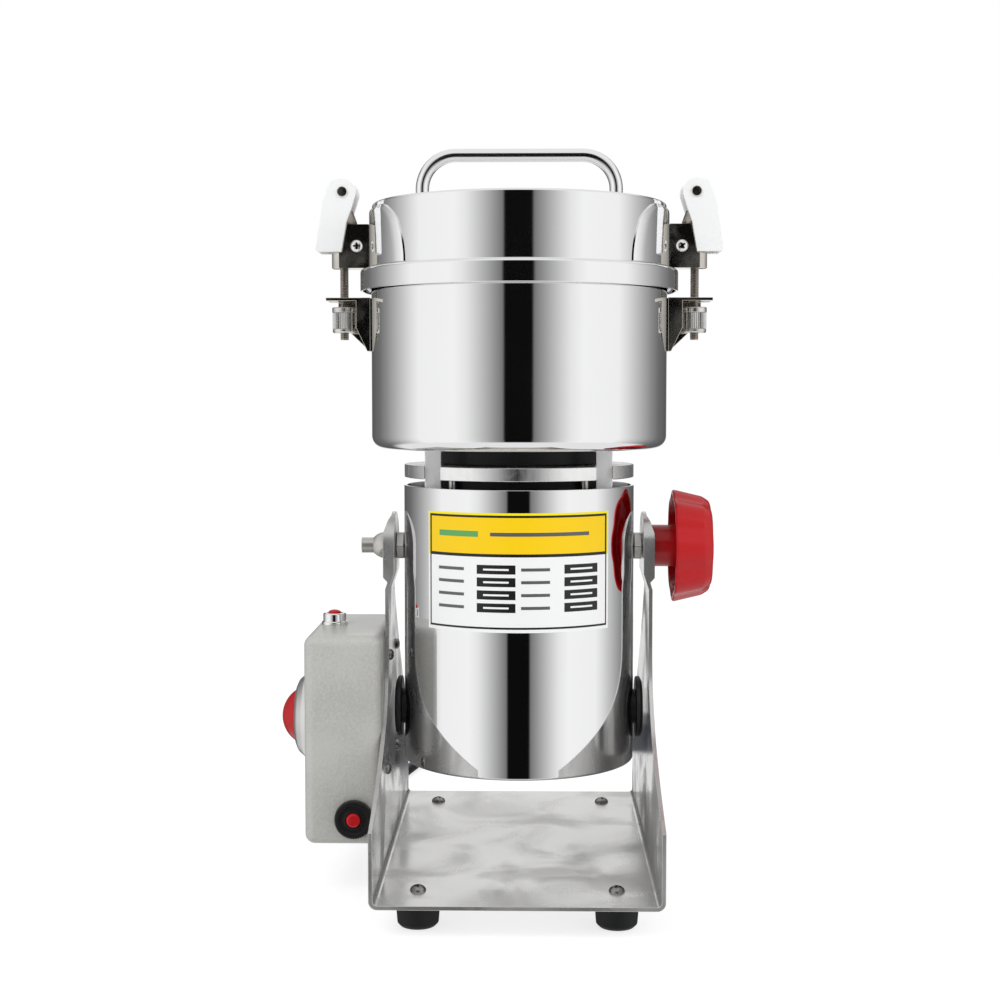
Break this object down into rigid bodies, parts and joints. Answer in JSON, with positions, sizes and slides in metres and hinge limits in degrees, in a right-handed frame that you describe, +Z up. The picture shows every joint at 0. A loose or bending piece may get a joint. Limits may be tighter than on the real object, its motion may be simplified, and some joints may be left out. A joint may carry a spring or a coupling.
{
  "type": "electric grain mill",
  "caption": "Swing-type electric grain mill: steel bowl with clamped lid over a motor can, tilting in a bent sheet bracket with a side control box, clamp knob and mains cord.",
  "frame": {"origin": "on the table under the middle of the mill's box, without the cord", "axes": "+X to the right of the pictured front, +Y to the back, +Z up; the bowl's axis stands 9.75 mm to the right of the origin"},
  "size_m": [0.225, 0.4455, 0.3724],
  "materials": {
    "bracket_steel": "brushed stainless sheet, slightly scuffed",
    "polished_steel": "polished stainless",
    "lever_chrome": "bright chrome",
    "hardware_steel": "zinc plated steel",
    "rubber_black": "matt",
    "box_paint": "light grey textured enamel on a die casting",
    "red_gloss": "gloss red",
    "black_plastic": "gloss black",
    "cord_sheath": "soft black sheath",
    "pin_brass": "nickel plated brass",
    "label_film": "printed film",
    "flange_aluminium": "turned",
    "core_steel": "laminated steel",
    "blade_steel": "hardened steel",
    "copper": "enamelled copper",
    "brush_brass": "bare brass",
    "carbon": "carbon block",
    "fan_plastic": "moulded",
    "gasket_rubber": "white silicone"
  },
  "bodies": {
    "base": {"base_bracket": "bracket_steel", "rubber_feet": "rubber_black", "foot_screws": "hardware_steel", "control_box": "box_paint", "box_screws": "hardware_steel", "power_bezel": "lever_chrome", "power_switch": "black_plastic", "reset_collar": "black_plastic", "overload_breaker": "black_plastic", "lamp_bezel": "lever_chrome", "lamp_lens": "red_gloss", "cord_gland": "rubber_black", "cord_run": "cord_sheath", "cord_coil": "cord_sheath", "plug_body": "black_plastic", "plug_pins": "pin_brass"},
    "power_button": {"power_button": "red_gloss"},
    "reset_button": {"reset_button": "red_gloss"},
    "head": {"motor_housing": "polished_steel", "pivot_bolts": "hardware_steel", "pivot_spacers": "hardware_steel", "pivot_dome_nut": "hardware_steel", "rating_label": "label_film", "motor_flange": "flange_aluminium", "standoffs": "flange_aluminium", "neck_sleeve": "rubber_black", "motor_bolts": "core_steel", "stator_core": "core_steel", "field_coils": "copper", "bearing_bracket": "flange_aluminium", "motor_bearings": "core_steel", "brush_holders": "brush_brass", "carbon_brushes": "carbon", "brush_caps": "black_plastic", "bowl": "polished_steel", "bowl_seal": "rubber_black", "lid": "polished_steel", "lid_gasket": "gasket_rubber", "lid_handle": "polished_steel", "latch_pads": "polished_steel", "lid_catches": "hardware_steel", "catch_screws": "hardware_steel", "bowl_brackets": "hardware_steel"},
    "clamp_knob": {"clamp_knob": "red_gloss"},
    "rotor": {"motor_shaft": "core_steel", "armature": "core_steel", "commutator": "copper", "cooling_fan": "fan_plastic", "lower_blade": "blade_steel", "upper_blade": "blade_steel", "blade_spacers": "blade_steel", "blade_nut": "blade_steel"},
    "left_latch": {"left_latch_rod": "hardware_steel", "left_latch_nut": "hardware_steel", "left_lever_pin": "hardware_steel"},
    "right_latch": {"right_latch_rod": "hardware_steel", "right_latch_nut": "hardware_steel", "right_lever_pin": "hardware_steel"},
    "left_lever": {"left_latch_lever": "lever_chrome"},
    "right_lever": {"right_latch_lever": "lever_chrome"}
  },
  "joints": [
    {"name": "head_tilt", "type": "hinge", "parent": "base", "child": "head", "pos_m": [0.00975, 0, 0.171], "axis": [1, 0, 0], "range_deg": [0, 100]},
    {"name": "knob_turn", "type": "hinge", "parent": "head", "child": "clamp_knob", "pos_m": [0.08975, 0, 0.171], "axis": [1, 0, 0], "range_deg": [-720, 720]},
    {"name": "rotor_spin", "type": "hinge", "parent": "head", "child": "rotor", "pos_m": [0.00975, 0, 0.2], "axis": [0, 0, 1], "continuous": true},
    {"name": "left_latch_swing", "type": "hinge", "parent": "head", "child": "left_latch", "pos_m": [-0.07925, 0, 0.286], "axis": [0, -1, 0], "range_deg": [0, 90]},
    {"name": "left_lever_lift", "type": "hinge", "parent": "left_latch", "child": "left_lever", "pos_m": [-0.07925, 0, 0.35], "axis": [0, 1, 0], "range_deg": [0, 150]},
    {"name": "right_latch_swing", "type": "hinge", "parent": "head", "child": "right_latch", "pos_m": [0.09875, 0, 0.286], "axis": [0, 1, 0], "range_deg": [0, 90]},
    {"name": "right_lever_lift", "type": "hinge", "parent": "right_latch", "child": "right_lever", "pos_m": [0.09875, 0, 0.35], "axis": [0, -1, 0], "range_deg": [0, 150]},
    {"name": "power_press", "type": "slide", "parent": "base", "child": "power_button", "axis": [1, 0, 0], "range_m": [0, 0.0035], "stiffness_N_per_m": 600, "springref_m": -0.002},
    {"name": "reset_press", "type": "slide", "parent": "base", "child": "reset_button", "axis": [0, 1, 0], "range_m": [0, 0.0025], "stiffness_N_per_m": 800, "springref_m": -0.002}
  ]
}
